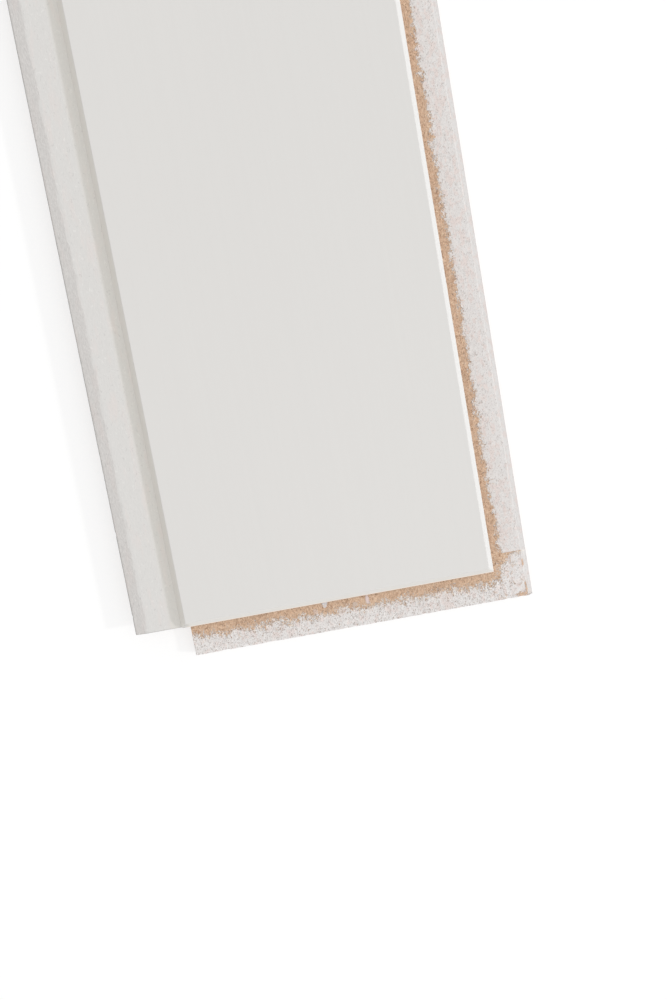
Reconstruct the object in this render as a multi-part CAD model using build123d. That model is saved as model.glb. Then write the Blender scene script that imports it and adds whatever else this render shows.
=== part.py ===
from build123d import *
import os

# Wood fibre wall panel: one board of hard-pressed wood fibre with a tongue and groove milled on
# all four edges. It lies face up. X runs across the width, with the long tongue at -X and the
# long groove at +X. Y runs along the length, with the groove end at -Y and the tongue end at +Y.
# Z is up, and the back is at 0. Sizes are in millimetres.

# What one board covers once it is joined to its neighbours, and how thick it is
COVER_WIDTH = 120.0
COVER_LENGTH = 2390.0
THICKNESS = 12.0

# Shadow gap between two boards: how far its floor lies below the face, how much of that floor,
# the flat of the tongue, shows side by side and end to end, where the boards meet tightly, and
# the slopes that border it, a bevel down to the tongue and a chamfer above the groove
GAP_DEPTH = 3.6
LONG_FLAT = 11.7
END_FLAT = 0.0
BEVEL_WIDTH = 2.3
CHAMFER_WIDTH = 1.8
CHAMFER_DEPTH = 1.8

# How far a tongue goes in under the next board, and how much looser the groove is
ENGAGEMENT = 4.4
TIP_PLAY = 0.4
GROOVE_PLAY = 0.15
GROOVE_RADIUS = 0.5

# Long tongue, whose nose is thinner than its root by a slope above and one below
LONG_TONGUE_THICKNESS = 4.0
LONG_NOSE_DROP = 0.8
LONG_NOSE_RISE = 0.3
LONG_NOSE_RADIUS = 0.8

# End tongue, which steps down from the gap's floor, so that the floor runs on unbroken over the
# end joint, in one long tongue after the other
END_STEP = 1.8
END_NOSE_DROP = 0.5
END_NOSE_RISE = 0.2
END_NOSE_RADIUS = 0.6

# Nailing lip under the groove. The long one has a sloped edge. The end one has an eased arris,
# and lies a little lower, because its cutter runs last and skims the long one. That drop is less
# than the groove's play, so that the cut under the end tongue takes the long lip off cleanly.
LONG_LIP = 13.6
LONG_LIP_SLOPE = 2.2
END_LIP = 11.6
END_LIP_SLOPE = 0.3
END_LIP_DROP = 0.1
SHOULDER_PLAY = 0.4

# Wood that the saw leaves on every edge for the cutters to take off
SAWN_ALLOWANCE = 3.0
CUTTER_OVERRUN = 5.0

# Levels above the back, of the tongues, and of the grooves that they go into
GAP_FLOOR = THICKNESS - GAP_DEPTH
LONG_TONGUE_TOP = GAP_FLOOR
LONG_TONGUE_BOTTOM = LONG_TONGUE_TOP - LONG_TONGUE_THICKNESS
LONG_GROOVE_TOP = LONG_TONGUE_TOP + GROOVE_PLAY
LONG_LIP_TOP = LONG_TONGUE_BOTTOM - GROOVE_PLAY
END_TONGUE_TOP = GAP_FLOOR - END_STEP
END_GROOVE_TOP = END_TONGUE_TOP + GROOVE_PLAY
END_LIP_TOP = LONG_LIP_TOP - END_LIP_DROP
END_TONGUE_BOTTOM = END_LIP_TOP + GROOVE_PLAY

# Depth of a groove, measured from the edge of the upper lip
GROOVE_DEPTH = ENGAGEMENT + TIP_PLAY

# How far from the tip of each tongue the back is cut away, to clear the next board's lip
LONG_SHOULDER = ENGAGEMENT + LONG_LIP + SHOULDER_PLAY
END_SHOULDER = ENGAGEMENT + END_LIP + SHOULDER_PLAY

# Outline of the finished board, tongues and lips included
WIDTH = ENGAGEMENT + COVER_WIDTH + LONG_LIP
LENGTH = ENGAGEMENT + COVER_LENGTH + END_LIP


def sawn_board():
    """The pressed board as sawn, a little larger than the finished outline."""
    return Box(
        WIDTH + 2 * SAWN_ALLOWANCE,
        LENGTH + 2 * SAWN_ALLOWANCE,
        THICKNESS,
        align=(Align.CENTER, Align.CENTER, Align.MIN),
    )


def cutter_section(profile):
    """Face of what a cutter removes, closed round the outside of the edge.

    The profile runs from above the face to below the back as (inward, height, radius), where
    inward is measured from the outermost line of the finished edge. Points that coincide with
    the one before are left out.
    """
    clear = SAWN_ALLOWANCE + CUTTER_OVERRUN
    top, bottom = THICKNESS + CUTTER_OVERRUN, -CUTTER_OVERRUN
    kept = [point for i, point in enumerate(profile) if i == 0 or point != profile[i - 1]]
    corners = [
        (-clear, top, 0),
        (kept[0][0], top, 0),
        *kept,
        (kept[-1][0], bottom, 0),
        (-clear, bottom, 0),
    ]
    outline = FilletPolyline(
        *[(inward, height) for inward, height, _ in corners],
        radius=[radius for _, _, radius in corners],
        close=True,
    )
    return make_face(outline)


def tongue_cutter(flat, top, bottom, nose, shoulder):
    """Section that leaves a bevel, the gap's floor, a tongue and a back cut to a shoulder.

    The nose is (drop of its upper side, rise of its lower side, radius).
    """
    drop, rise, radius = nose
    foot = ENGAGEMENT + flat
    return cutter_section(
        [
            (foot + BEVEL_WIDTH, THICKNESS, 0),
            (foot, GAP_FLOOR, 0),
            (ENGAGEMENT, GAP_FLOOR, 0),
            (ENGAGEMENT, top, 0),
            (0, top - drop, radius),
            (0, bottom + rise, radius),
            (ENGAGEMENT, bottom, 0),
            (shoulder, bottom, 0),
        ]
    )


def groove_cutter(top, lip_top, lip, lip_slope):
    """Section that leaves a chamfered upper edge, a groove and the lip below it."""
    return cutter_section(
        [
            (lip + CHAMFER_WIDTH, THICKNESS, 0),
            (lip, THICKNESS - CHAMFER_DEPTH, 0),
            (lip, top, 0),
            (lip + GROOVE_DEPTH, top, GROOVE_RADIUS),
            (lip + GROOVE_DEPTH, lip_top, GROOVE_RADIUS),
            (lip_slope, lip_top, 0),
            (0, lip_top - lip_slope, 0),
        ]
    )


def pass_along(section, edge_middle, inward, run):
    """Solid swept out by a cutter that travels a whole edge and past both of its ends."""
    station = Plane(origin=edge_middle, x_dir=inward, z_dir=inward.cross(Vector(0, 0, 1)))
    travel = run / 2 + SAWN_ALLOWANCE + CUTTER_OVERRUN
    return extrude(station * section, amount=travel, both=True)


def wall_panel():
    """The board after a cutter has run along each of its four edges."""
    right, up = Vector(1, 0, 0), Vector(0, 1, 0)
    long_nose = (LONG_NOSE_DROP, LONG_NOSE_RISE, LONG_NOSE_RADIUS)
    end_nose = (END_NOSE_DROP, END_NOSE_RISE, END_NOSE_RADIUS)
    long_tongue = tongue_cutter(
        LONG_FLAT, LONG_TONGUE_TOP, LONG_TONGUE_BOTTOM, long_nose, LONG_SHOULDER
    )
    end_tongue = tongue_cutter(
        END_FLAT, END_TONGUE_TOP, END_TONGUE_BOTTOM, end_nose, END_SHOULDER
    )
    long_groove = groove_cutter(LONG_GROOVE_TOP, LONG_LIP_TOP, LONG_LIP, LONG_LIP_SLOPE)
    end_groove = groove_cutter(END_GROOVE_TOP, END_LIP_TOP, END_LIP, END_LIP_SLOPE)
    return (
        sawn_board()
        - pass_along(long_tongue, right * (-WIDTH / 2), right, LENGTH)
        - pass_along(long_groove, right * (WIDTH / 2), right * -1, LENGTH)
        - pass_along(end_tongue, up * (LENGTH / 2), up * -1, WIDTH)
        - pass_along(end_groove, up * (-LENGTH / 2), up, WIDTH)
    )


os.makedirs("parts", exist_ok=True)
export_step(wall_panel(), "parts/wall_panel.step")
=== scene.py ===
"""The looks of one wood fibre wall panel: a long milled board, painted on its face and tongues,
dusted with stray paint on its nailing lips, and bare where the cutters ran last."""

import math
from types import SimpleNamespace

import bmesh
import bpy
from mathutils import Euler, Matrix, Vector


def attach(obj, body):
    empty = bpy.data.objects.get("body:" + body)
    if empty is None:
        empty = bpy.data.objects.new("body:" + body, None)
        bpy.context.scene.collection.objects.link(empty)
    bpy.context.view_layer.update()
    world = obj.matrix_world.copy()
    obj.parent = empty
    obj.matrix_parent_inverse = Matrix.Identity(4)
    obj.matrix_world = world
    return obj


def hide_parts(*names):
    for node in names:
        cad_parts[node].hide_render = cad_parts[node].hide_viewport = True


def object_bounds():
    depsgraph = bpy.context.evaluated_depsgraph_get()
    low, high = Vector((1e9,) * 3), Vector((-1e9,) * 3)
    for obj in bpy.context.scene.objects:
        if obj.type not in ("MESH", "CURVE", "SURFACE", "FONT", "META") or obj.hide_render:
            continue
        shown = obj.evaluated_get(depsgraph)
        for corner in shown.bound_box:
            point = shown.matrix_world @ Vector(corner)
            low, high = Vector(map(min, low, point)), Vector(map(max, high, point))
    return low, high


bl_info = {
    "name": "Wood Fibre Wall Panel",
    "version": (1, 0, 0),
    "blender": (4, 5, 0),
    "location": "3D Viewport > Sidebar > Wall Panel",
    "description": "Makes a painted tongue and groove board and the stage it is shown on",
    "category": "Add Mesh",
}

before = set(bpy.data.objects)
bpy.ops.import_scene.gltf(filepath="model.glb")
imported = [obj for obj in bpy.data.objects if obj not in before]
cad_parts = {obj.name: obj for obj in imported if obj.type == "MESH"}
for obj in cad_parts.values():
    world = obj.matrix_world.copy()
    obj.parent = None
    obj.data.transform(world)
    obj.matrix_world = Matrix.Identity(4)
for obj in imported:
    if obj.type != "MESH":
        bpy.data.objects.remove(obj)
CAD_LOW, CAD_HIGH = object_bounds()
CAD_SIZE = CAD_HIGH - CAD_LOW
CAD_NODE = "wall_panel"
MM = 0.001


# Sizes and colours that a user would change


def length(label, meaning, millimetres):
    """A size of the board, kept in metres."""
    return bpy.props.FloatProperty(
        name=label,
        description=meaning,
        default=millimetres * MM,
        min=0.0,
        precision=5,
        unit="LENGTH",
    )


def tint(label, meaning, red, green, blue):
    """A colour, written here as it looks on a screen, from 0 to 255."""
    return bpy.props.FloatVectorProperty(
        name=label,
        description=meaning,
        default=[linear(level) for level in (red, green, blue)],
        min=0.0,
        max=1.0,
        size=3,
        subtype="COLOR",
    )


def linear(level):
    """Light given off by a screen level from 0 to 255."""
    share = level / 255
    return share / 12.92 if share <= 0.04045 else ((share + 0.055) / 1.055) ** 2.4


LONG_LIP_MM = 13.6
END_LIP_MM = 11.6
ENGAGEMENT_MM = 4.4


class BoardSizes(bpy.types.PropertyGroup):
    """Sizes of the board's section along its sides and at its ends."""

    cover_width: length(
        "Cover width",
        "Width that one board covers once it is joined to the next",
        CAD_SIZE.x / MM - LONG_LIP_MM - ENGAGEMENT_MM,
    )
    cover_length: length(
        "Cover length",
        "Length that one board covers once it is joined to the next",
        CAD_SIZE.y / MM - END_LIP_MM - ENGAGEMENT_MM,
    )
    thickness: length("Thickness", "From the back to the painted face", CAD_SIZE.z / MM)
    gap_depth: length("Gap depth", "From the face down to the shadow gap's floor", 3.6)
    long_flat: length("Gap flat", "Width of the shadow gap's flat floor", 11.7)
    bevel_width: length("Bevel width", "Width of the slope down to the gap's floor", 2.3)
    chamfer: length("Chamfer", "Width and depth of the slope above the groove", 1.8)
    engagement: length("Engagement", "How far a tongue goes under the next board", ENGAGEMENT_MM)
    tip_play: length("Tip play", "Room left before the tip of a tongue", 0.4)
    groove_play: length("Groove play", "How much higher the groove is than the tongue", 0.15)
    tongue: length("Tongue thickness", "Thickness of the long tongue at its root", 4.0)
    nose_drop: length("Nose drop", "How far the long tongue's top slopes down", 0.8)
    nose_rise: length("Nose rise", "How far the long tongue's underside slopes up", 0.3)
    end_step: length("End step", "From the gap's floor down to the end tongue", 1.8)
    end_nose_drop: length("End nose drop", "How far the end tongue's top slopes down", 0.5)
    end_nose_rise: length("End nose rise", "How far its underside slopes up", 0.2)
    long_lip: length("Long lip", "How far the long nailing lip stands out", LONG_LIP_MM)
    long_lip_slope: length("Long lip slope", "Width and drop of its sloped edge", 2.2)
    end_lip: length("End lip", "How far the end nailing lip stands out", END_LIP_MM)
    end_lip_drop: length("End lip drop", "How much lower the end lip lies", 0.1)
    shoulder_play: length("Shoulder play", "Room left beside the next board's lip", 0.4)
    arris: length("Arris", "Radius that handling leaves on a milled arris", 0.22)


class BoardLooks(bpy.types.PropertyGroup):
    """Colours of the paint and of the fibre, and how rough and worn the board is."""

    paint: tint("Paint", "Satin paint of the face, as it dries in several coats", 224, 222, 219)
    stray_paint: tint("Stray paint", "Thin dusting of paint on the nailing lips", 232, 229, 227)
    warm_paint: tint("Warm paint", "Paint so thin that the fibre warms it", 233, 220, 215)
    cool_paint: tint("Cool paint", "Shaded hollows of the thin paint", 190, 178, 172)
    fibre: tint("Fibre", "Fresh cut of the pressed wood fibre", 221, 190, 163)
    pale_fibre: tint("Pale fibre", "Lightest strands", 244, 222, 197)
    dark_fibre: tint("Dark fibre", "Darkest strands and specks", 148, 116, 92)
    relief: length("Relief", "How far the fibre stands up on the lips", 0.1)
    chip_depth: length("Chip depth", "How deep the arrises of the lips are chipped", 0.45)
    fibre_count: bpy.props.IntProperty(
        name="Loose fibres",
        description="Number of loose fibres for each square centimetre of bare lip",
        default=30,
        min=0,
    )
    seed: bpy.props.IntProperty(
        name="Seed",
        description="Changes where the chips and fibres fall",
        default=4,
    )


class StageLooks(bpy.types.PropertyGroup):
    """The floor and the lights."""

    key_light: bpy.props.FloatProperty(
        name="Key light",
        description="Share of the face's light that comes from the low key light",
        default=0.13,
        min=0.0,
        max=1.0,
        subtype="FACTOR",
    )
    key_height: bpy.props.FloatProperty(
        name="Key height",
        description="Angle of the key light above the board",
        default=math.radians(32.1),
        subtype="ANGLE",
    )
    key_turn: bpy.props.FloatProperty(
        name="Key turn",
        description="Angle of the key light from the board's width towards its length",
        default=math.radians(-12.0),
        subtype="ANGLE",
    )
    sky_light: bpy.props.FloatProperty(
        name="Sky light",
        description="Even light from all round, where 1 shows a colour as it is written",
        default=0.62,
        min=0.0,
        max=1.0,
        subtype="FACTOR",
    )


# Node trees written as arithmetic


# How far apart in the noise two seeds lie
SEED_STEP = (7.31, 3.17, 5.73)


class Wire:
    """An output of a node. Arithmetic on it adds the nodes that work out the result."""

    def __init__(self, net, node, output=0):
        self.net = net
        self.node = node
        self.socket = None if output is None else node.outputs[output]

    def out(self, output):
        """Another output of the same node."""
        return Wire(self.net, self.node, output)

    def parts(self):
        """The three numbers of a vector."""
        split = self.net.add("ShaderNodeSeparateXYZ", {}, {0: self})
        return split, split.out(1), split.out(2)

    def __add__(self, other):
        return self.net.maths("ADD", self, other)

    def __radd__(self, other):
        return self.net.maths("ADD", other, self)

    def __sub__(self, other):
        return self.net.maths("SUBTRACT", self, other)

    def __rsub__(self, other):
        return self.net.maths("SUBTRACT", other, self)

    def __mul__(self, other):
        return self.net.maths("MULTIPLY", self, other)

    def __rmul__(self, other):
        return self.net.maths("MULTIPLY", other, self)

    def __truediv__(self, other):
        return self.net.maths("DIVIDE", self, other)

    def __rtruediv__(self, other):
        return self.net.maths("DIVIDE", other, self)

    def __neg__(self):
        return self.net.maths("MULTIPLY", self, -1.0)

    def __gt__(self, other):
        return self.net.maths("GREATER_THAN", self, other)

    def __lt__(self, other):
        return self.net.maths("LESS_THAN", self, other)


class Net:
    """A node tree, and the few ways in which nodes are added to it."""

    def __init__(self, tree):
        self.tree = tree

    def add(self, kind, settings=None, inputs=None, output=0):
        """Adds a node of any type. Its settings come first, then its sockets' values or links.

        The setting named branches is the number of an Index Switch's choices, and a list goes
        into one socket that takes several links.
        """
        node = self.tree.nodes.new(kind)
        for name, value in (settings or {}).items():
            if name == "branches":
                while len(node.index_switch_items) < value:
                    node.index_switch_items.new()
            else:
                setattr(node, name, value)
        for name, value in (inputs or {}).items():
            for each in value if isinstance(value, list) else [value]:
                if isinstance(each, Wire):
                    self.tree.links.new(each.socket, node.inputs[name])
                else:
                    node.inputs[name].default_value = each
        return Wire(self, node, output)

    def maths(self, operation, *terms):
        """A Vector Math node where a term is a vector or a colour, and else a Math node."""
        if any(self.is_vector(term) for term in terms):
            terms = [term if isinstance(term, (Wire, tuple)) else (term,) * 3 for term in terms]
            kind = "ShaderNodeVectorMath"
        else:
            kind = "ShaderNodeMath"
        return self.add(kind, {"operation": operation}, dict(enumerate(terms)))

    @staticmethod
    def is_vector(term):
        if isinstance(term, Wire):
            return term.socket.type in ("VECTOR", "RGBA")
        return isinstance(term, tuple)

    def least(self, first, second):
        return self.maths("MINIMUM", first, second)

    def most(self, first, second):
        return self.maths("MAXIMUM", first, second)

    def size_of(self, value):
        return self.maths("ABSOLUTE", value)

    def fade(self, value, start, end):
        """Smoothly 0 to 1 as the value goes from start to end, either way round."""
        return self.add(
            "ShaderNodeMapRange",
            {"interpolation_type": "SMOOTHSTEP"},
            {"Value": value, "From Min": start, "From Max": end},
        )

    def bump_at(self, value, middle, reach):
        """1 where the value is at the middle, and smoothly 0 at that reach from it."""
        return self.fade(self.size_of(value - middle), reach, 0.0)

    def noise(self, place, grain, seed, detail=2.0, roughness=0.5, distortion=0.0):
        """Soft noise about 0.5, whose grain is given along each axis in the place's units."""
        apart = tuple(seed * step for step in SEED_STEP)
        scaled = place * tuple(1 / side for side in grain) + apart
        return self.add(
            "ShaderNodeTexNoise",
            {"noise_dimensions": "3D"},
            {
                "Vector": scaled,
                "Scale": 1.0,
                "Detail": detail,
                "Roughness": roughness,
                "Distortion": distortion,
            },
        )

    def mix(self, share, first, second):
        """A colour between two others."""
        return self.add(
            "ShaderNodeMix",
            {"data_type": "RGBA"},
            {0: share, 6: opaque(first), 7: opaque(second)},
            output=2,
        )

    def millimetres(self, kind, output=0):
        """The place that a node gives, in millimetres."""
        return self.add(kind, output=output) * (1 / MM, 1 / MM, 1 / MM)


def opaque(colour):
    """A colour of three numbers with full cover, as a colour socket takes it."""
    return colour if isinstance(colour, Wire) else (*colour, 1.0)


# Shape of the board


GROOVE_RADIUS = 0.5 * MM
NOSE_RADIUS = 0.8 * MM
NOSE_ROOT_RADIUS = 8.0 * MM
END_NOSE_RADIUS = 0.6 * MM
CLEAR = 1.0 * MM
ARRIS_POINTS = 3
SOCKET_KINDS = {"FLOAT": "NodeSocketFloat", "INT": "NodeSocketInt"}


def places(s):
    """Where the lines of the section lie, worked out from sizes that are numbers or wires."""
    p = SimpleNamespace()
    half_width = (s.engagement + s.cover_width + s.long_lip) / 2
    half_length = (s.engagement + s.cover_length + s.end_lip) / 2
    groove_depth = s.engagement + s.tip_play

    p.face = s.thickness
    p.chamfer = s.chamfer
    p.gap_floor = s.thickness - s.gap_depth
    p.tongue_bottom = p.gap_floor - s.tongue
    p.groove_top = p.gap_floor + s.groove_play
    p.lip_top = p.tongue_bottom - s.groove_play
    p.end_tongue_top = p.gap_floor - s.end_step
    p.end_groove_top = p.end_tongue_top + s.groove_play
    p.end_lip_top = p.lip_top - s.end_lip_drop
    p.end_tongue_bottom = p.end_lip_top + s.groove_play

    p.left = -half_width
    p.nose_root = p.left + s.engagement
    p.bevel_foot = p.nose_root + s.long_flat
    p.face_left = p.bevel_foot + s.bevel_width
    p.back_left = p.nose_root + s.long_lip + s.shoulder_play
    p.right = half_width
    p.lip_arris = p.right - s.long_lip_slope
    p.upper_right = p.right - s.long_lip
    p.face_right = p.upper_right - s.chamfer
    p.groove_right = p.upper_right - groove_depth

    p.near = -half_length
    p.upper_near = p.near + s.end_lip
    p.face_near = p.upper_near + s.chamfer
    p.groove_near = p.upper_near + groove_depth
    p.far = half_length
    p.far_step = p.far - s.engagement
    p.face_far = p.far_step - s.bevel_width
    p.back_far = p.far_step - s.end_lip - s.shoulder_play
    return p


def long_section(s, p):
    """Corners of the section across the board, as across, height and radius."""
    return [
        (p.back_left, 0.0, s.arris),
        (p.right, 0.0, s.arris),
        (p.right, p.lip_top - s.long_lip_slope, s.arris),
        (p.lip_arris, p.lip_top, s.arris),
        (p.groove_right, p.lip_top, GROOVE_RADIUS),
        (p.groove_right, p.groove_top, GROOVE_RADIUS),
        (p.upper_right, p.groove_top, s.arris),
        (p.upper_right, p.face - s.chamfer, s.arris),
        (p.face_right, p.face, s.arris),
        (p.face_left, p.face, s.arris),
        (p.bevel_foot, p.gap_floor, s.arris),
        (p.nose_root, p.gap_floor, NOSE_ROOT_RADIUS),
        (p.left, p.gap_floor - s.nose_drop, NOSE_RADIUS),
        (p.left, p.tongue_bottom + s.nose_rise, NOSE_RADIUS),
        (p.nose_root, p.tongue_bottom, s.arris),
        (p.back_left, p.tongue_bottom, s.arris),
    ]


def end_section(s, p):
    """Corners of the section along the board, which runs clear of its face and its back."""
    below, just_above, above = -CLEAR, p.face + CLEAR * 0.1, p.face + CLEAR
    return [
        (p.near, below, 0.0),
        (p.near, p.end_lip_top, s.arris),
        (p.groove_near, p.end_lip_top, GROOVE_RADIUS),
        (p.groove_near, p.end_groove_top, GROOVE_RADIUS),
        (p.upper_near, p.end_groove_top, s.arris),
        (p.upper_near, p.face - s.chamfer, s.arris),
        (p.face_near, p.face, s.arris),
        (p.face_near + CLEAR, just_above, 0.0),
        (p.face_near + CLEAR, above, 0.0),
        (p.face_far - CLEAR, above, 0.0),
        (p.face_far - CLEAR, just_above, 0.0),
        (p.face_far, p.face, s.arris),
        (p.far_step, p.gap_floor, s.arris),
        (p.far_step, p.end_tongue_top, s.arris),
        (p.far, p.end_tongue_top - s.end_nose_drop, END_NOSE_RADIUS),
        (p.far, p.end_tongue_bottom + s.end_nose_rise, END_NOSE_RADIUS),
        (p.far_step, p.end_tongue_bottom, s.arris),
        (p.back_far, p.end_tongue_bottom, s.arris),
        (p.back_far, below, 0.0),
    ]


def rounded_outline(net, corners):
    """A closed curve through the corners, with every corner rounded to its own radius.

    Its Y is the height turned over, because Curve to Mesh hangs an outline from a level path.
    """
    index = net.add("GeometryNodeInputIndex")

    def pick(numbers):
        branches = {str(i): number for i, number in enumerate(numbers)}
        settings = {"data_type": "FLOAT", "branches": len(numbers)}
        return net.add("GeometryNodeIndexSwitch", settings, {"Index": index, **branches})

    across, height, radius = (pick(numbers) for numbers in zip(*corners))
    place = net.add("ShaderNodeCombineXYZ", {}, {0: across, 1: -height})
    points = net.add("GeometryNodePoints", {}, {"Count": len(corners), "Position": place})
    curve = net.add("GeometryNodePointsToCurves", {}, {"Points": points})
    closed = net.add("GeometryNodeSetSplineCyclic", {}, {0: curve, "Cyclic": True})
    return net.add(
        "GeometryNodeFilletCurve",
        {"mode": "POLY"},
        {"Curve": closed, "Count": ARRIS_POINTS, "Radius": radius, "Limit Radius": True},
    )


def swept(net, outline, start, end, inside_out=False):
    """A closed bar with the outline as its section."""
    path = net.add("GeometryNodeCurvePrimitiveLine", {}, {"Start": start, "End": end})
    inputs = {"Curve": path, "Profile Curve": outline, "Fill Caps": True}
    bar = net.add("GeometryNodeCurveToMesh", {}, inputs)
    return net.add("GeometryNodeFlipFaces", {}, {0: bar}) if inside_out else bar


def new_tree(title, group, takes_mesh=False):
    """An empty geometry tree, and its inputs: a mesh if it takes one, and a group's numbers."""
    net = Net(bpy.data.node_groups.new(title, "GeometryNodeTree"))
    interface = net.tree.interface
    interface.new_socket("Geometry", in_out="OUTPUT", socket_type="NodeSocketGeometry")
    labels = {}
    if takes_mesh:
        interface.new_socket("Geometry", in_out="INPUT", socket_type="NodeSocketGeometry")
        labels["mesh"] = "Geometry"
    for name in group.__annotations__:
        prop = group.bl_rna.properties[name]
        if prop.type not in SOCKET_KINDS or prop.is_array:
            continue
        kind = SOCKET_KINDS[prop.type]
        socket = interface.new_socket(prop.name, in_out="INPUT", socket_type=kind)
        socket.default_value = prop.default
        labels[name] = prop.name
    sockets = net.add("NodeGroupInput")
    return net, SimpleNamespace(**{name: sockets.out(label) for name, label in labels.items()})


def board_tree(finish):
    """Tree that mills the board: its long section and its end section, where both are wood."""
    net, s = new_tree("milled_board", BoardSizes)
    p = places(s)

    def spot(x, y):
        return net.add("ShaderNodeCombineXYZ", {}, {0: x, 1: y})

    long_outline = rounded_outline(net, long_section(s, p))
    end_outline = rounded_outline(net, end_section(s, p))
    near_end, far_end = spot(0.0, p.near - CLEAR), spot(0.0, p.far + CLEAR)
    long_bar = swept(net, long_outline, near_end, far_end, inside_out=True)
    end_bar = swept(net, end_outline, spot(p.right + CLEAR, 0.0), spot(p.left - CLEAR, 0.0))
    board = net.add(
        "GeometryNodeMeshBoolean",
        {"operation": "INTERSECT", "solver": "EXACT"},
        {"Mesh 2": [long_bar, end_bar]},
    )
    finish_tree(net, board, [(True, finish)])
    return net.tree


def finish_tree(net, made, finishes):
    """Ends a tree: instances made real, then a finish set on each part of the result."""
    made = net.add("GeometryNodeRealizeInstances", {}, {0: made})
    for chosen, finish in finishes:
        inputs = {"Geometry": made, "Selection": chosen, "Material": finish}
        made = net.add("GeometryNodeSetMaterial", {}, inputs)
    net.add("NodeGroupOutput", {}, {0: made}, output=None)


def run_tree(tree, values, mesh=None):
    """The plain mesh that a geometry tree makes, with its inputs set by their labels."""
    holder = bpy.data.objects.new(tree.name, mesh or bpy.data.meshes.new(tree.name))
    bpy.context.scene.collection.objects.link(holder)
    modifier = holder.modifiers.new(tree.name, "NODES")
    modifier.node_group = tree
    for item in tree.interface.items_tree:
        if item.in_out == "INPUT" and item.name in values:
            modifier[item.identifier] = values[item.name]
    return baked_mesh(holder)


def baked_mesh(holder):
    """A plain mesh of what an object's modifiers make. The object is removed."""
    bpy.context.view_layer.update()
    evaluated = holder.evaluated_get(bpy.context.evaluated_depsgraph_get())
    mesh = bpy.data.meshes.new_from_object(evaluated)
    bpy.data.objects.remove(holder)
    return mesh


def values_of(group):
    """What a property group holds, by its labels, for a tree's inputs."""
    found = {}
    for name in group.__annotations__:
        found[group.bl_rna.properties[name].name] = getattr(group, name)
    return found


# Cells: the bare milled shape has long faces, which are cut up before they are worn


TINY = 1e-7
NEAR_REACH = 250 * MM
NEAR_CELL = 0.75 * MM
FAR_CELL = 4.0 * MM
LIP_CELL = 0.8 * MM
FLOOR_SKIN = 0.1 * MM


def steps(start, end, size):
    """Places from start to end, about that size apart, without the two ends."""
    count = max(1, round((end - start) / size))
    return [start + (end - start) * i / count for i in range(1, count)]


def cut_across(shape, axis, stations, wanted=lambda at: True):
    """Cuts the wanted faces by a plane square to the axis at each station, in rising order."""
    normal = Vector([float(i == axis) for i in range(3)])
    ahead = [face for face in shape.faces if wanted(face.calc_center_median())]
    for station in stations:
        crossing = []
        for face in ahead:
            along = [vertex.co[axis] for vertex in face.verts]
            if min(along) < station - TINY and max(along) > station + TINY:
                crossing.append(face)
        if not crossing:
            continue
        edges = {edge for face in crossing for edge in face.edges}
        corners = {vertex for face in crossing for vertex in face.verts}
        cut = bmesh.ops.bisect_plane(
            shape,
            geom=[*corners, *edges, *crossing],
            dist=TINY,
            plane_co=normal * station,
            plane_no=normal,
        )
        pieces = {item for item in cut["geom"] if isinstance(item, bmesh.types.BMFace)}
        ahead = [
            face
            for face in pieces.union(ahead)
            if face.is_valid and max(v.co[axis] for v in face.verts) > station + TINY
        ]


def in_cells(mesh, p):
    """The board's mesh with small cells on its lips and tongues, finest at the groove end."""
    shape = bmesh.new()
    shape.from_mesh(mesh)
    bmesh.ops.remove_doubles(shape, verts=shape.verts, dist=TINY)
    near_limit = p.near + NEAR_REACH

    def on_lips_or_tongue(at):
        beside = at.x > p.groove_right or at.x < p.bevel_foot or at.y < p.groove_near
        return beside and at.y < near_limit and TINY < at.z < p.gap_floor + FLOOR_SKIN

    def at_an_end(at):
        return at.y > p.back_far or at.y < p.face_near

    along = steps(p.near, near_limit, NEAR_CELL) + [near_limit]
    along += steps(near_limit, p.far, FAR_CELL)
    cut_across(shape, 1, along)
    cut_across(shape, 0, steps(p.left, p.right, LIP_CELL), on_lips_or_tongue)
    cut_across(shape, 0, steps(p.left, p.right, FAR_CELL), at_an_end)
    bmesh.ops.recalc_face_normals(shape, faces=shape.faces)
    finished = bpy.data.meshes.new("celled_board")
    shape.to_mesh(finished)
    shape.free()
    return finished


# Wear: fibre that stands up on the lips, and arrises that handling has chipped


# Distances in millimetres. The skins are how far a worn face may stand above its milled level.
LIP_SKIN = 0.4
GAP_SKIN = 0.12
GROOVE_CORNER = 0.7
NOSE_FALL = 1.2
END_TONGUE_LEVEL = 1.0
CHIPS_FADE = (60.0, 12.0)


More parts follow.
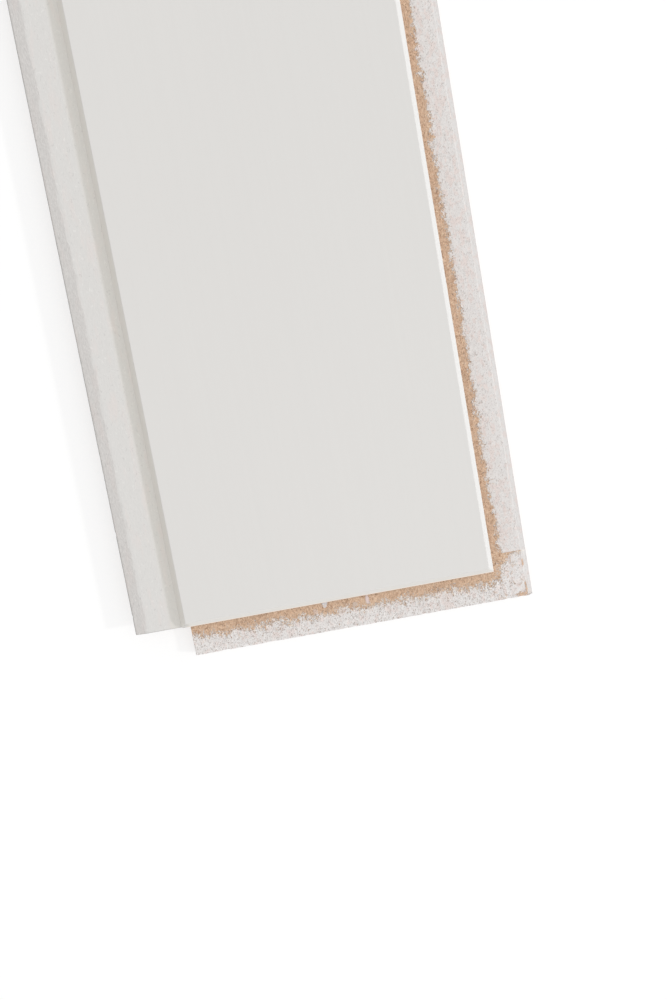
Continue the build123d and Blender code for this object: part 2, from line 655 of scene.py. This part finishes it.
def wear_tree(p, finishes):
    """Tree that roughens the bare fibre, chips the arrises and gives each part its finish."""
    net, looks = new_tree("worn_board", BoardLooks, takes_mesh=True)
    relief, chip = looks.relief, looks.chip_depth
    place = net.millimetres("GeometryNodeInputPosition")
    shift = net.add("ShaderNodeCombineXYZ", {}, {0: looks.seed * 13.7, 1: looks.seed * 5.9})
    lot = place + shift
    x, y, z = place.parts()
    normal_z = net.add("GeometryNodeInputNormal").parts()[2]
    q = in_mm(p)

    low = z < q.lip_top + LIP_SKIN
    on_long_lip = low * (x > q.groove_right + GROOVE_CORNER)
    on_end_lip = low * (y < q.groove_near - GROOVE_CORNER)
    lip = net.most(on_long_lip, on_end_lip) * (normal_z > 0.3)
    hairs = net.noise(lot, (0.9, 2.2, 2.0), 1, detail=3.0, roughness=0.6) - 0.5
    swell = net.noise(lot, (4.0, 7.0, 5.0), 2) - 0.5
    upward = lip * relief * (hairs * 1.7 + swell * 0.8)

    # The drag that the cutter leaves only ever takes wood off the tongue
    tongue = (x < q.nose_root + 0.5) * (z > q.tongue_bottom + 0.3) * (normal_z > -0.2)
    drag = net.noise(lot, (1.4, 3.0, 2.0), 3, detail=3.0) - 0.5
    inward = tongue * (drag + 0.25) * relief * 1.2

    def chipped(first, second, seed, share, reach):
        """How deep an arris is chipped, from the two distances to its line."""
        away = net.maths("SQRT", first * first + second * second)
        where = net.noise(lot, (2.6, 2.6, 2.6), seed, detail=2.0, roughness=0.6)
        return net.fade(away, reach, 0.0) * net.fade(where, share, share + 0.1)

    long_chip = chipped(x - q.lip_arris, z - q.lip_top, 4, 0.60, 0.9)
    long_chip = long_chip * net.fade(y, *(q.near + reach for reach in CHIPS_FADE))
    end_chip = chipped(y - q.near, z - q.end_lip_top, 5, 0.52, 0.8)
    far_chip = chipped(y - q.far, z - q.end_tongue_top + 0.7, 6, 0.50, 0.9)
    tip_chip = chipped(x - q.left, z - q.gap_floor + NOSE_FALL, 7, 0.60, 0.9)
    moved = net.add(
        "ShaderNodeCombineXYZ",
        {},
        {
            0: inward + chip * (tip_chip * 0.35 - long_chip * 0.6),
            1: chip * (end_chip * 0.4 - far_chip * 0.9),
            2: upward - chip * (long_chip * 0.7 + end_chip * 0.5),
        },
    )
    worn = net.add("GeometryNodeSetPosition", {}, {"Geometry": looks.mesh, "Offset": moved})
    smooth = net.add("GeometryNodeSetShadeSmooth", {}, {0: worn})

    upward_face = normal_z > 0.25
    above_gap = upward_face * (z > q.gap_floor + GAP_SKIN)
    on_gap_floor = upward_face * (z > q.gap_floor - NOSE_FALL) * (z < q.gap_floor + GAP_SKIN)
    on_end_tongue = upward_face * (y > q.far_step - 0.1) * (z > q.tongue_bottom + END_TONGUE_LEVEL)
    on_lips = upward_face * (z < q.lip_top + LIP_SKIN)
    parts = [
        (True, finishes.bare),
        (net.most(on_gap_floor, on_end_tongue) > 0.5, finishes.floor),
        (above_gap > 0.5, finishes.face),
        (on_lips > 0.5, finishes.lip),
    ]
    finish_tree(net, smooth, parts)
    return net.tree


def in_mm(p):
    """The same places in millimetres, which the noise and the masks are written in."""
    return SimpleNamespace(**{name: value / MM for name, value in vars(p).items()})


def evenly_shaded(mesh):
    """The mesh with normals that follow its large faces, so that only the arrises look round."""
    holder = bpy.data.objects.new("shading_holder", mesh)
    bpy.context.scene.collection.objects.link(holder)
    weighting = holder.modifiers.new("large_faces_lead", "WEIGHTED_NORMAL")
    weighting.mode = "FACE_AREA"
    weighting.weight = 80
    return baked_mesh(holder)


# Finishes


def linear_colour(levels):
    """A colour for a socket, from three screen levels."""
    return tuple(linear(level) for level in levels)


# Tones of the face paint, one for each slope round the face, made lighter or darker so that each
# shows the light that falls on it: painted light and shade. The near chamfer's lower rim is
# lighter, partly the paint's edge and partly a painted highlight along the arris. The gap's corner
# beside the bevel gets a warm painted bounce of light from the bevel.
BEVEL_PAINTED_LIGHT = linear_colour((233, 229, 222))
CHAMFER_PAINTED_LIGHT = linear_colour((231, 230, 228))
NEAR_CHAMFER_PAINTED_LIGHT = linear_colour((225, 222, 217))
RIM_PAINT_AND_HIGHLIGHT = linear_colour((246, 232, 219))
GAP_CORNER_PAINTED_BOUNCE = (1.01, 1.0, 0.967)

# Marks in the fibre and in the stray paint; the dark speck is partly painted shade
SHADED_SPECK = linear_colour((130, 110, 96))
STROKE = linear_colour((150, 128, 118))
CREAM = linear_colour((250, 238, 224))
CHIPPED_FIBRE = linear_colour((240, 200, 166))

# Chips in the stray paint at the lips' corner: out from the arris and from the near end to the
# middle, then half the width and half the length, in millimetres
ARRIS_CHIPS = (
    (0.1, 12.1, 0.34, 1.2),
    (-0.05, 2.7, 0.4, 2.5),
    (-1.7, 0.75, 2.1, 1.0),
)

# Drips on the end lip: across the board and out from the upper edge to the middle, then half the
# width and half the length, in millimetres, how much they cover, and their colour
DRIPS = (
    (-3.5, 0.9, 1.05, 2.2, 0.95, (226, 226, 230)),
    (11.45, 2.8, 0.62, 1.7, 0.95, (236, 220, 217)),
    (6.95, 3.7, 0.9, 0.8, 0.55, (216, 206, 200)),
    (-7.1, 3.8, 0.8, 0.9, 0.55, (222, 206, 199)),
)


class Finish(Net):
    """A material's net, with the places and colours that the finishes share."""

    def __init__(self, name, q, looks):
        self.material = bpy.data.materials.new(name)
        self.material.use_nodes = True
        super().__init__(self.material.node_tree)
        self.tree.nodes.clear()
        self.q = q
        self.looks = looks
        self.place = self.millimetres("ShaderNodeTexCoord", "Object")
        self.x, self.y, self.z = self.place.parts()

    def fibre(self):
        """Colour and height of the pressed fibre where a cutter has opened it."""
        fibre, pale, dark = self.looks.fibre, self.looks.pale_fibre, self.looks.dark_fibre
        strands = self.noise(self.place, (0.42, 0.8, 0.5), 11, roughness=0.6, distortion=0.8)
        clumps = self.noise(self.place, (2.2, 3.6, 2.6), 12)
        specks = self.noise(self.place, (0.36, 0.5, 0.4), 13, detail=1.0, distortion=0.5)
        colour = self.mix(self.fade(strands, 0.53, 0.66) * 0.75, fibre, pale)
        colour = self.mix(self.fade(strands, 0.47, 0.33) * 0.6, colour, dark)
        colour = self.mix(self.fade(clumps, 0.60, 0.35) * 0.12, colour, dark)
        colour = self.mix(self.fade(specks, 0.37, 0.29) * 0.8, colour, dark)
        return colour, strands * 0.8 + specks * 0.5

    def oval(self, middle_x, middle_y, half_x, half_y, rim):
        """1 inside an oval, given in millimetres, whose rim is made ragged by a noise."""
        across = (self.x - middle_x) * (1 / half_x)
        along = (self.y - middle_y) * (1 / half_y)
        return self.fade(across * across + along * along + rim, 1.2, 0.8)

    def close(self, colour, roughness, height, depth, gloss=0.5):
        """Ends the material in one Principled shader, with a bump of that depth in millimetres."""
        relief = {"Strength": 1.0, "Distance": depth * MM, "Height": height}
        surface = {
            "Base Color": colour,
            "Roughness": roughness,
            "Specular IOR Level": gloss,
            "Normal": self.add("ShaderNodeBump", {}, relief),
        }
        shader = self.add("ShaderNodeBsdfPrincipled", {}, surface)
        self.add("ShaderNodeOutputMaterial", {}, {"Surface": shader}, output=None)
        return self.material


DRY_GLOSS = 0.3


def face_paint(q, looks):
    """Satin paint of the face, its bevel and its chamfers, with the faint draw of the roller."""
    net = Finish("face_paint", q, looks)
    draw = net.noise(net.place, (1.3, 90.0, 40.0), 21, detail=3.0, roughness=0.6) - 0.5
    cloud = net.noise(net.place, (70.0, 160.0, 50.0), 22) - 0.5
    skin = net.noise(net.place, (0.9, 1.4, 0.9), 23, detail=2.0)

    # The slopes meet in mitres: a point lies on the one whose upper edge it is furthest past
    steep = (q.face - q.gap_floor) / (q.face_left - q.bevel_foot)
    past_right, past_left = net.x - q.face_right, (q.face_left - net.x) * steep
    past_near, past_far = q.face_near - net.y, (net.y - q.face_far) * steep
    on_chamfer = past_right > net.most(past_far, 0.0)
    on_near_chamfer = past_near > net.most(net.most(past_right, past_left), 0.0)
    # Each slope has its own tone of the paint, lighter or darker for the light it gets: painted
    # light and shade
    slope_painted_light = net.mix(on_chamfer, BEVEL_PAINTED_LIGHT, CHAMFER_PAINTED_LIGHT)
    slope_painted_light = net.mix(on_near_chamfer, slope_painted_light, NEAR_CHAMFER_PAINTED_LIGHT)

    below = net.fade(net.z, q.face - 0.08, q.face - 0.3)
    paint = net.mix(below, looks.paint, slope_painted_light)
    chamfer_foot = q.face - q.chamfer
    # The near chamfer's lower rim is lighter: partly the paint's edge, partly a painted highlight
    # along the arris
    rim = net.fade(net.z, chamfer_foot + 0.5, chamfer_foot + 0.1)
    rim = rim * (net.y < q.face_near) * (net.x > q.face_left)
    paint = net.mix(rim * 0.8, paint, RIM_PAINT_AND_HIGHLIGHT)
    paint = paint * (1.0 + draw * 0.022 + cloud * 0.018)
    return net.close(paint, 0.42 + draw * 0.06, skin + draw * 0.6, 0.012)


def gap_paint(q, looks):
    """Paint of the tongues: thinner, over fibre that stands up, and worn off at the tip."""
    net = Finish("gap_paint", q, looks)
    fibre, fibre_height = net.fibre()
    patch = net.noise(net.place, (3.0, 14.0, 6.0), 31, detail=3.0, roughness=0.6)
    grain = net.noise(net.place, (0.5, 1.3, 0.7), 32, roughness=0.6, distortion=0.4)
    wander = (net.noise(net.place, (2.5, 11.0, 6.0), 33, roughness=0.6) - 0.5) * 4.0
    nibs = net.noise(net.place, (0.7, 1.2, 0.8), 34, detail=1.0, distortion=1.0)

    nose = net.fade(net.x + wander, q.nose_root + 0.35, q.nose_root - 0.35)
    colour = net.mix(net.fade(patch, 0.48, 0.70) * 0.30, looks.paint, looks.warm_paint)
    colour = net.mix(nose * 0.12, colour, looks.warm_paint)
    # Painted light: a warm bounce from the bevel is painted onto the gap's floor beside it
    corner = net.fade(net.x, q.bevel_foot - 4.5, q.bevel_foot - 2.5)
    colour = colour * net.mix(corner, (1.0, 1.0, 1.0), GAP_CORNER_PAINTED_BOUNCE)

    raised = net.fade(nibs, 0.66, 0.72) * 0.07
    sunken = net.fade(nibs, 0.33, 0.27) * 0.10
    # Painted shade: the rounded tip is darkened where it turns down away from the light
    tip = net.fade(net.z, q.gap_floor - 0.68, q.gap_floor - 1.1)
    rough = (grain - 0.5) * (0.10 + nose * 0.18)
    colour = colour * (0.975 + rough + (raised - sunken) - nose * 0.075 - tip * 0.35)
    bare_tip = net.fade(net.z + (grain - 0.5) * 1.6, q.gap_floor - 1.45, q.gap_floor - 1.8)
    colour = net.mix(bare_tip, colour, fibre)
    return net.close(colour, 0.58, grain * (0.5 + nose) + bare_tip * fibre_height, 0.06)


# Stray paint on the lips. Widths are in millimetres, and a cover is what is added to the grain.
# Where the sum is past the middle of the grain's range, there is paint.
BARE_STRIP = 4.05
END_STRIP_SHARE = 0.77
STRIP_WAVES = 2.6
STRIP_RIPPLES = 4.0
COVER_PER_MM = 0.155
END_COVER_PER_MM = 0.105
STEP_STRIP = 0.7
STEP_WEDGE = 3.6
STEP_COVER_PER_MM = 0.11
FULL_COVER = 0.235
THIN_COVER = 0.16
NO_LIMIT = 9.0


def lip_cover(net):
    """How far the stray paint covers the nailing lips: 0 is bare fibre and 1 is paint.

    The cover comes on in specks, thicker with the distance from the upper edge. The end groove
    was cut last, so beside it the cover starts anew at the step that its cutter left.
    """
    q = net.q
    out_right, out_near = net.x - q.upper_right, q.upper_near - net.y
    past_cut = net.most(q.groove_near - net.y, -1.0)
    in_end_cut = net.fade(past_cut, -0.1, 0.1)
    waves = net.noise(net.place, (6.0, 9.0, 7.0), 42) - 0.5
    ripples = net.noise(net.place, (1.5, 2.2, 1.8), 43, detail=1.0) - 0.5
    wander = waves * STRIP_WAVES + ripples * STRIP_RIPPLES

    reach_right = net.most(out_right, 0.0)
    reach_near = net.most(out_near, 0.0) * END_STRIP_SHARE
    reach = net.maths("SQRT", reach_right * reach_right + reach_near * reach_near)
    per_mm = COVER_PER_MM - in_end_cut * (COVER_PER_MM - END_COVER_PER_MM)
    past_strip = (reach - BARE_STRIP + wander) * per_mm
    wedge = STEP_STRIP + net.fade(out_right, 9.5, 3.0) * STEP_WEDGE
    past_step = (past_cut - wedge + wander * 0.6) * STEP_COVER_PER_MM
    past_step = past_step + (1.0 - in_end_cut) * NO_LIMIT + net.fade(out_right, 1.0, 0.0) * NO_LIMIT
    thin = in_end_cut * (1.0 - net.fade(out_right, 3.0, 9.0) * 0.6)
    most_cover = FULL_COVER - thin * (FULL_COVER - THIN_COVER)
    share = net.least(net.least(past_strip, past_step), most_cover)
    grain = net.noise(net.place, (0.45, 0.75, 0.5), 41, roughness=0.7, distortion=0.9)
    cover = net.fade(grain + share, 0.475, 0.525)
    return cover, share, in_end_cut


def arris_chips(net, rim):
    """1 where the stray paint is chipped off round the corner of the lips."""
    chipped = 0.0
    for out_x, out_y, half_x, half_y in ARRIS_CHIPS:
        chip = net.oval(net.q.lip_arris + out_x, net.q.near + out_y, half_x, half_y, rim)
        chipped = net.most(chipped, chip)
    return chipped


def with_drips(net, colour, rim):
    """The colour of the end lip with the drips on it, and where they lie."""
    drips = 0.0
    for across, out, half_x, half_y, strength, paint in DRIPS:
        drip = net.oval(across, net.q.upper_near - out, half_x, half_y, rim) * strength
        colour = net.mix(drip, colour, linear_colour(paint))
        drips = net.most(drips, drip)
    return colour, drips


def lip_paint(q, looks):
    """Nailing lips: bare fibre beside the groove, then a speckled edge, then stray paint."""
    net = Finish("lip_paint", q, looks)
    fibre, fibre_height = net.fibre()
    cover, share, in_end_cut = lip_cover(net)
    slope = net.fade(net.x, q.lip_arris + 0.05, q.lip_arris + 0.35)
    rim = (net.noise(net.place, (0.42, 0.55, 0.5), 44) - 0.5) * 5.0
    nibs = net.noise(net.place, (0.55, 1.0, 0.55), 45, roughness=0.6, distortion=1.8)
    blush = net.noise(net.place, (1.7, 2.8, 2.2), 46, roughness=0.6)
    cream = net.noise(net.place, (0.42, 0.5, 0.5), 47, detail=1.0)
    chipped = arris_chips(net, rim)
    cover = net.most(cover, slope) * (1.0 - chipped * net.fade(nibs, 0.40, 0.47))

    # The paint is roughest in the end groove's cut, and near its own edge
    in_shade = 1.0 - net.fade(net.x, q.upper_right + 3.0, q.upper_right + 9.0) * 0.7
    in_shade = in_end_cut * in_shade
    rough_part = (1.0 - slope * 0.4) * (1.0 + in_shade * 0.6 + net.fade(share, 0.22, 0.05) * 0.5)
    paint = net.mix(net.fade(blush, 0.47, 0.64) * 0.7, looks.stray_paint, looks.warm_paint)
    paint = net.mix(net.fade(nibs, 0.45, 0.31) * rough_part * 0.6, paint, looks.cool_paint)
    near_arris = net.fade(net.y, q.near + 1.3, q.near + 0.3)
    stroked = net.most(net.most(net.fade(share, 0.2, 0.04), near_arris * 0.7), chipped)
    paint = net.mix(net.fade(nibs, 0.43, 0.34) * stroked * 0.55, paint, STROKE)
    paint = paint * (0.97 + in_end_cut * 0.03 + (nibs - 0.5) * rough_part * 0.42)
    # Painted shade: the sloped edge is darkened to offset the light that it catches, and the paint
    # is a little darker towards the outer edge
    outer_edge = net.fade(net.x, q.right - 0.55, q.right - 0.1)
    paint = paint * (1.0 - slope * 0.14 - outer_edge * 0.05)

    # Painted shade: the fibre is darker along the paint's thin edge, where that ragged edge casts a
    # little shade
    fibre = net.mix(net.bump_at(cover, 0.45, 0.45) * 0.6, fibre, looks.dark_fibre)
    # Bare fibre among the first flecks of paint is darker: dark specks, partly painted shade
    fibre = net.mix(net.fade(share, 0.0, 0.12) * 0.35, fibre, SHADED_SPECK)
    fibre = net.mix(chipped * 0.65, fibre, CHIPPED_FIBRE)
    colour, drips = with_drips(net, net.mix(cover, fibre, paint), rim * 0.25)
    cream = net.fade(cream, 0.56, 0.63) * net.bump_at(share, 0.03, 0.12)
    colour = net.mix(cream * 0.9, colour, CREAM)
    # Painted shade on the end lip just below the upper lip's edge
    painted_shade_under_edge = net.bump_at(net.y, q.upper_near - 0.6, 1.5) * (net.x < q.upper_right)
    colour = colour * (1.0 - painted_shade_under_edge * 0.2)
    height = fibre_height * 0.8 + cover * 0.8 + nibs * 0.7 * rough_part + drips * 1.5
    return net.close(colour, 0.80 - cover * 0.12, height, 0.10, DRY_GLOSS)


def bare_fibre(q, looks):
    """Fibre left bare by the cutters, with paint that has run over its edges."""
    net = Finish("bare_fibre", q, looks)
    fibre, fibre_height = net.fibre()
    ragged = net.noise(net.place, (0.8, 0.8, 0.5), 51, detail=3.0, roughness=0.65) - 0.5
    below_face = net.fade(net.z + ragged * 1.2, q.face - 2.6, q.face - 1.9)
    lip_side = net.fade(net.z + ragged * 2.0, 0.6, 2.0) * net.fade(net.z, 4.6, 4.2)
    outer = net.most(net.x > q.right - 0.4, net.y < q.near + 0.4)
    tip = net.fade(net.z + ragged * 1.2, q.gap_floor - 1.9, q.gap_floor - 1.2)
    tip = tip * (net.x < q.left + 1.0)
    cover = net.most(net.most(below_face, lip_side * outer), tip)
    colour = net.mix(cover, fibre, looks.stray_paint)
    return net.close(colour, 0.85, fibre_height + cover * 0.4, 0.10, DRY_GLOSS)


def loose_fibre(q, looks):
    """Single fibres, each a little lighter or darker than the last."""
    net = Finish("loose_fibre", q, looks)
    tone = net.noise(net.place, (1.1, 1.1, 1.1), 61, detail=1.0)
    colour = net.mix(net.fade(tone, 0.38, 0.62), looks.fibre, looks.pale_fibre)
    return net.close(colour, 0.75, tone, 0.01, DRY_GLOSS)


class WALLPANEL_OT_make_board(bpy.types.Operator):
    """Mills the board, cuts it into cells, wears it and gives every part its finish."""

    bl_idname = "wall_panel.make_board"
    bl_label = "Make board"

    def execute(self, context):
        sizes = context.scene.wall_panel_sizes
        looks = context.scene.wall_panel_looks
        p = places(sizes)
        q = in_mm(p)
        finishes = SimpleNamespace(
            face=face_paint(q, looks),
            floor=gap_paint(q, looks),
            lip=lip_paint(q, looks),
            bare=bare_fibre(q, looks),
        )
        milled = run_tree(board_tree(finishes.bare), values_of(sizes))
        worn = run_tree(wear_tree(p, finishes), values_of(looks), in_cells(milled, p))
        board = bpy.data.objects.new("painted_board", evenly_shaded(worn))
        context.scene.collection.objects.link(board)
        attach(board, "root")
        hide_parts(CAD_NODE)
        return {"FINISHED"}


# Loose fibres


# The radius and the arch are shares of a fibre's length
HAIR_RADIUS = 0.045
HAIR_ARCH = 0.22
HAIR_SHORTEST = 0.6 * MM
HAIR_LONGEST = 1.7 * MM
HAIR_TILT = 0.35
SQUARE_CENTIMETRES = 10000.0

# Where fibres lie, in millimetres from the lips' lines
FROM_GROOVE = 1.2
PAST_LONG_EDGE = 5.0
PAST_END_EDGE = 7.0
FROM_ARRIS = 1.5


def fibre_tree(p, finish):
    """Tree that strews short curved fibres over the bare parts of the lips."""
    net, looks = new_tree("strewn_fibres", BoardLooks, takes_mesh=True)
    x, y, z = net.millimetres("GeometryNodeInputPosition").parts()
    normal_z = net.add("GeometryNodeInputNormal").parts()[2]
    q = in_mm(p)
    beside_long = (x > q.groove_right + FROM_GROOVE) * (x < q.upper_right + PAST_LONG_EDGE)
    beside_end = (y < q.groove_near - FROM_GROOVE) * (y > q.upper_near - PAST_END_EDGE)
    inside = (x < q.lip_arris - FROM_ARRIS) * (y > q.near + FROM_ARRIS)
    on_lips = (z < q.lip_top + LIP_SKIN) * (normal_z > 0.5)
    bare = net.most(beside_long, beside_end) * inside * on_lips
    per_square_metre = looks.fibre_count * bare * SQUARE_CENTIMETRES
    strewn = net.add(
        "GeometryNodeDistributePointsOnFaces",
        {"distribute_method": "RANDOM"},
        {"Mesh": looks.mesh, "Density": per_square_metre, "Seed": looks.seed},
    )

    start, middle, end = (0, 0, 0), (0.5, 0, HAIR_ARCH * 2), (1, 0, 0)
    arch = {"Resolution": 3, "Start": start, "Middle": middle, "End": end}
    spine = net.add("GeometryNodeCurveQuadraticBezier", {}, arch)
    ring = net.add("GeometryNodeCurvePrimitiveCircle", {}, {"Resolution": 3, "Radius": HAIR_RADIUS})
    hair_parts = {"Curve": spine, "Profile Curve": ring, "Fill Caps": True}
    hair = net.add("GeometryNodeCurveToMesh", {}, hair_parts)

    def chance(kind, order, low, high, step):
        """A random value. Each kind has its own limits and output, in this order of kinds."""
        inputs = {order * 2: low, order * 2 + 1: high, "Seed": looks.seed + step}
        return net.add("FunctionNodeRandomValue", {"data_type": kind}, inputs, output=order)

    low_turn, high_turn = (-HAIR_TILT, -HAIR_TILT, 0.0), (HAIR_TILT, HAIR_TILT, math.tau)
    turn = chance("FLOAT_VECTOR", 0, low_turn, high_turn, 1)
    size = chance("FLOAT", 1, HAIR_SHORTEST, HAIR_LONGEST, 2)
    placed = {"Points": strewn, "Instance": hair, "Rotation": turn, "Scale": size}
    lying = net.add("GeometryNodeInstanceOnPoints", {}, placed)
    finish_tree(net, lying, [(True, finish)])
    return net.tree


class WALLPANEL_OT_make_fibres(bpy.types.Operator):
    """Strews loose fibres over the bare parts of the nailing lips."""

    bl_idname = "wall_panel.make_fibres"
    bl_label = "Make fibres"

    def execute(self, context):
        looks = context.scene.wall_panel_looks
        p = places(context.scene.wall_panel_sizes)
        carrier = bpy.data.objects["painted_board"].data.copy()
        tree = fibre_tree(p, loose_fibre(in_mm(p), looks))
        fibres = bpy.data.objects.new("loose_fibres", run_tree(tree, values_of(looks), carrier))
        context.scene.collection.objects.link(fibres)
        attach(fibres, "root")
        return {"FINISHED"}


# Stage


FLOOR_HALF = 9.0
FLOOR_DROP = 0.3 * MM
FLOOR_COLOUR = (0.88, 0.88, 0.88, 1.0)
FLOOR_GLOW = 1.12
FLOOR_GLOW_SHARE = 0.6
WHITE = (1.0, 1.0, 1.0, 1.0)
LAMP_DISTANCE = 3.0
KEY_SPREAD = math.radians(4)
FILL_SPREAD = math.radians(70)
FILL_STRENGTH = 0.78
FILL_DIRECTION = Vector((0.45, -0.25, 0.86)).normalized()
CAMERA_PLACE = (4.650 * MM, -1132.570 * MM, 292.841 * MM)
CAMERA_TURN = (-4.9122, -1.1603, -10.1884)
LENS = 30.343
SENSOR = 36.0


def towards(turn, height):
    """Unit vector from the board to a light at that turn and height."""
    level = math.cos(height)
    return Vector((level * math.cos(turn), level * math.sin(turn), math.sin(height)))


def add_sun(name, direction, strength, spread):
    """Adds a sun lamp that shines on the near end of the board from a direction."""
    lamp = bpy.data.lights.new(name, "SUN")
    lamp.energy = strength
    lamp.angle = spread
    holder = bpy.data.objects.new(name, lamp)
    holder.location = Vector((0.0, CAD_LOW.y, 0.0)) + direction * LAMP_DISTANCE
    holder.rotation_euler = direction.to_track_quat("Z", "Y").to_euler()
    bpy.context.scene.collection.objects.link(holder)


def seen_directly(net):
    """1 for rays from the camera, from gloss and through glass, and 0 for the light they give."""
    rays = net.add("ShaderNodeLightPath")
    seen = net.most(rays.out("Is Camera Ray"), rays.out("Is Glossy Ray"))
    return net.most(seen, rays.out("Is Transmission Ray"))


class WALLPANEL_OT_make_stage(bpy.types.Operator):
    """Makes the pale floor, the studio light and the camera of the photograph."""

    bl_idname = "wall_panel.make_stage"
    bl_label = "Make stage"

    def execute(self, context):
        scene = context.scene
        stage = scene.wall_panel_stage
        scene.view_settings.view_transform = "Standard"
        self.make_world(scene, stage)
        self.make_floor(scene)
        self.make_lights(stage)
        self.make_camera(scene)
        return {"FINISHED"}

    def make_world(self, scene, stage):
        scene.world = bpy.data.worlds.new("studio_world")
        scene.world.use_nodes = True
        net = Net(scene.world.node_tree)
        net.tree.nodes.clear()
        strength = stage.sky_light + seen_directly(net) * (1.0 - stage.sky_light)
        sky = net.add("ShaderNodeBackground", {}, {"Color": WHITE, "Strength": strength})
        net.add("ShaderNodeOutputWorld", {}, {"Surface": sky}, output=None)

    def make_floor(self, scene):
        shape = bmesh.new()
        bmesh.ops.create_grid(shape, x_segments=8, y_segments=8, size=FLOOR_HALF)
        mesh = bpy.data.meshes.new("pale_floor")
        shape.to_mesh(mesh)
        shape.free()
        floor = bpy.data.objects.new("pale_floor", mesh)
        floor.location.z = -FLOOR_DROP
        scene.collection.objects.link(floor)
        material = bpy.data.materials.new("pale_floor")
        material.use_nodes = True
        net = Net(material.node_tree)
        net.tree.nodes.clear()
        diffuse = net.add("ShaderNodeBsdfDiffuse", {}, {"Color": FLOOR_COLOUR})
        glow = net.add("ShaderNodeEmission", {}, {"Strength": FLOOR_GLOW})
        share = seen_directly(net) * FLOOR_GLOW_SHARE
        both = net.add("ShaderNodeMixShader", {}, {0: share, 1: diffuse, 2: glow})
        net.add("ShaderNodeOutputMaterial", {}, {"Surface": both}, output=None)
        mesh.materials.append(material)

    def make_lights(self, stage):
        key = towards(stage.key_turn, stage.key_height)
        add_sun("key_light", key, stage.key_light * math.pi / key.z, KEY_SPREAD)
        add_sun("soft_fill", FILL_DIRECTION, FILL_STRENGTH, FILL_SPREAD)

    def make_camera(self, scene):
        camera = bpy.data.objects.new("camera", bpy.data.cameras.new("camera"))
        camera.data.sensor_fit = "VERTICAL"
        camera.data.sensor_height = SENSOR
        camera.data.sensor_width = SENSOR
        camera.data.lens = LENS
        camera.data.clip_start = 0.01
        camera.location = CAMERA_PLACE
        camera.rotation_euler = Euler([math.radians(angle) for angle in CAMERA_TURN], "XYZ")
        scene.collection.objects.link(camera)
        scene.camera = camera


class WALLPANEL_PT_sidebar(bpy.types.Panel):
    """Sizes, looks and stage of the wall panel, with the operators that make them."""

    bl_idname = "WALLPANEL_PT_sidebar"
    bl_label = "Wall Panel"
    bl_space_type = "VIEW_3D"
    bl_region_type = "UI"
    bl_category = "Wall Panel"

    def draw(self, context):
        for name, group, operators in SECTIONS:
            box = self.layout.box()
            for prop in group.__annotations__:
                box.prop(getattr(context.scene, name), prop)
            for operator in operators:
                box.operator(operator.bl_idname)


SECTIONS = (
    ("wall_panel_sizes", BoardSizes, ()),
    ("wall_panel_looks", BoardLooks, (WALLPANEL_OT_make_board, WALLPANEL_OT_make_fibres)),
    ("wall_panel_stage", StageLooks, (WALLPANEL_OT_make_stage,)),
)
CLASSES = (
    BoardSizes,
    BoardLooks,
    StageLooks,
    WALLPANEL_OT_make_board,
    WALLPANEL_OT_make_fibres,
    WALLPANEL_OT_make_stage,
    WALLPANEL_PT_sidebar,
)


def register():
    """Makes the classes known and gives the scene its settings."""
    for each in CLASSES:
        bpy.utils.register_class(each)
    for name, group, _ in SECTIONS:
        setattr(bpy.types.Scene, name, bpy.props.PointerProperty(type=group))


def unregister():
    """Takes the settings and the classes away again."""
    for name, _, _ in SECTIONS:
        delattr(bpy.types.Scene, name)
    for each in reversed(CLASSES):
        bpy.utils.unregister_class(each)


def main():
    """Makes the stage, the board and its loose fibres."""
    register()
    bpy.ops.wall_panel.make_stage()
    bpy.ops.wall_panel.make_board()
    bpy.ops.wall_panel.make_fibres()


if __name__ == "__main__":
    main()
